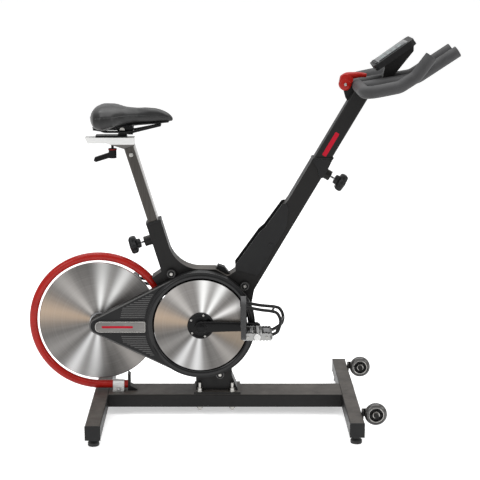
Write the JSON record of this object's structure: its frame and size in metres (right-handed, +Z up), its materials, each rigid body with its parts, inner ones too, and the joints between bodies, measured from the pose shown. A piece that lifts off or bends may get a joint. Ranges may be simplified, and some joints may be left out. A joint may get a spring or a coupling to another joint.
{
  "type": "exercise bike",
  "caption": "Upright indoor cycling bike with rear flywheel in a tubular guard, belt drive, adjustable saddle and handlebar, console and transport wheels.",
  "frame": {"origin": "centre of the bike's footprint on the floor, under the levelling feet", "axes": "+X points to the front of the bike, +Z up, the drive side (rider's right) is at -Y"},
  "size_m": [1.2985, 0.66, 1.1655],
  "materials": {
    "frame_paint": "satin charcoal powder coat",
    "bright_fasteners": "zinc plated",
    "black_plastic": "fine moulded texture",
    "foot_rubber": "matt",
    "wheel_tyre": "smooth",
    "guard_red": "gloss red",
    "clamp_silver": "satin",
    "brushed_aluminium": "circular brushed",
    "turned_steel": "turned",
    "pulley_alloy": "cast",
    "arm_black": "satin black",
    "pedal_alloy": "polished",
    "strap_web": "woven webbing",
    "belt_rubber": "ribbed",
    "magnet": "nickel",
    "post_anodised": "grey anodised",
    "saddle_vinyl": "satin vinyl",
    "grip_rubber": "matt coating",
    "screen": "glossy display window"
  },
  "bodies": {
    "root": {"base_beam": "frame_paint", "rear_crossbar": "frame_paint", "front_crossbar": "frame_paint", "crossbar_end_caps": "black_plastic", "transport_brackets": "frame_paint", "main_frame": "frame_paint", "frame_bolts": "bright_fasteners", "flywheel_stays": "frame_paint", "bearings": "bright_fasteners", "drive_belt": "belt_rubber", "belt_cover": "black_plastic", "cover_screws": "bright_fasteners", "flywheel_guard": "guard_red", "guard_clamp": "clamp_silver", "guard_brackets": "frame_paint", "cable_cover": "black_plastic", "head_shrouds": "black_plastic", "post_collars": "black_plastic"},
    "foot_rear_right": {"levelling_foot_rear_right": "foot_rubber"},
    "foot_rear_left": {"levelling_foot_rear_left": "foot_rubber"},
    "foot_front_right": {"levelling_foot_front_right": "foot_rubber"},
    "foot_front_left": {"levelling_foot_front_left": "foot_rubber"},
    "wheel_right": {"transport_wheel_right": "wheel_tyre"},
    "wheel_left": {"transport_wheel_left": "wheel_tyre"},
    "flywheel_set": {"flywheel": "brushed_aluminium", "flywheel_axle": "turned_steel"},
    "crank": {"crank_spindle": "turned_steel", "drive_pulley": "pulley_alloy", "crank_disc": "brushed_aluminium", "crank_spider": "arm_black", "spider_bolts": "bright_fasteners", "crank_arm_right": "arm_black", "crank_arm_left": "arm_black", "pedal_pins": "turned_steel"},
    "pedal_right_set": {"pedal_right": "pedal_alloy", "toe_cage_right": "black_plastic", "toe_strap_right": "strap_web"},
    "pedal_left_set": {"pedal_left": "pedal_alloy", "toe_cage_left": "black_plastic", "toe_strap_left": "strap_web"},
    "brake": {"brake_arm": "arm_black", "brake_magnets": "magnet"},
    "seat_mast": {"seat_post": "post_anodised", "seat_rail": "clamp_silver"},
    "carriage": {"seat_carriage": "arm_black", "saddle_pivot_bolt": "bright_fasteners"},
    "seat_clamp_lever": {"seat_lever": "arm_black"},
    "saddle_set": {"saddle_clamp": "arm_black", "saddle_rails": "turned_steel", "saddle_base": "black_plastic", "saddle": "saddle_vinyl"},
    "seat_pull_pin": {"seat_pin": "black_plastic"},
    "handlebar_pull_pin": {"handlebar_pin": "black_plastic"},
    "handlebar": {"handlebar_post": "frame_paint", "outer_handlebar": "grip_rubber", "inner_handlebars": "grip_rubber", "console_bracket": "frame_paint", "console": "black_plastic", "console_screen": "screen"},
    "resistance": {"resistance_lever": "guard_red"}
  },
  "joints": [
    {"name": "levelling_rear_right", "type": "slide", "parent": "root", "child": "foot_rear_right", "axis": [0, 0, -1], "range_m": [0, 0.01]},
    {"name": "levelling_rear_left", "type": "slide", "parent": "root", "child": "foot_rear_left", "axis": [0, 0, -1], "range_m": [0, 0.01]},
    {"name": "levelling_front_right", "type": "slide", "parent": "root", "child": "foot_front_right", "axis": [0, 0, -1], "range_m": [0, 0.01]},
    {"name": "levelling_front_left", "type": "slide", "parent": "root", "child": "foot_front_left", "axis": [0, 0, -1], "range_m": [0, 0.01]},
    {"name": "transport_spin_right", "type": "hinge", "parent": "root", "child": "wheel_right", "pos_m": [0.407, -0.224, 0.067], "axis": [0, 1, 0], "continuous": true},
    {"name": "transport_spin_left", "type": "hinge", "parent": "root", "child": "wheel_left", "pos_m": [0.407, 0.224, 0.067], "axis": [0, 1, 0], "continuous": true},
    {"name": "crank_spin", "type": "hinge", "parent": "root", "child": "crank", "pos_m": [-0.117, 0, 0.296], "axis": [0, 1, 0], "continuous": true},
    {"name": "flywheel_spin", "type": "hinge", "parent": "root", "child": "flywheel_set", "pos_m": [-0.434, 0, 0.292], "axis": [0, 1, 0], "continuous": true},
    {"name": "pedal_spin_right", "type": "hinge", "parent": "crank", "child": "pedal_right_set", "pos_m": [0.053, -0.15, 0.296], "axis": [0, 1, 0], "continuous": true},
    {"name": "pedal_spin_left", "type": "hinge", "parent": "crank", "child": "pedal_left_set", "pos_m": [-0.287, 0.15, 0.296], "axis": [0, 1, 0], "continuous": true},
    {"name": "resistance_shift", "type": "hinge", "parent": "handlebar", "child": "resistance", "pos_m": [0.316, 0, 1.027], "axis": [0, -1, 0], "range_deg": [0, 50]},
    {"name": "brake_swing", "type": "hinge", "parent": "root", "child": "brake", "pos_m": [-0.224, 0, 0.306], "axis": [0, -1, 0], "range_deg": [0, 2.6]},
    {"name": "seat_height", "type": "slide", "parent": "root", "child": "seat_mast", "axis": [-0.294, 0, 0.9558], "range_m": [-0.165, 0.035]},
    {"name": "seat_fore_aft", "type": "slide", "parent": "seat_mast", "child": "carriage", "axis": [1, 0, 0], "range_m": [-0.03, 0.012]},
    {"name": "saddle_tilt", "type": "hinge", "parent": "carriage", "child": "saddle_set", "pos_m": [-0.351, 0, 0.892], "axis": [0, 1, 0], "range_deg": [-8, 8]},
    {"name": "seat_lever_turn", "type": "hinge", "parent": "carriage", "child": "seat_clamp_lever", "pos_m": [-0.383, 0, 0.82], "axis": [0, 0, 1], "range_deg": [0, 90]},
    {"name": "seat_pin_pull", "type": "slide", "parent": "root", "child": "seat_pull_pin", "axis": [-0.9558, 0, -0.294], "range_m": [0, 0.012], "stiffness_N_per_m": 700, "springref_m": -0.012},
    {"name": "handlebar_pin_pull", "type": "slide", "parent": "root", "child": "handlebar_pull_pin", "axis": [0.866, 0, -0.5], "range_m": [0, 0.012], "stiffness_N_per_m": 700, "springref_m": -0.012},
    {"name": "handlebar_height", "type": "slide", "parent": "root", "child": "handlebar", "axis": [0.5, 0, 0.866], "range_m": [-0.145, 0.08]}
  ],
  "couplings": [
    {"joint": "flywheel_spin", "follows": "crank_spin", "ratio": 8.9286},
    {"joint": "brake_swing", "follows": "resistance_shift", "ratio": 0.05}
  ]
}
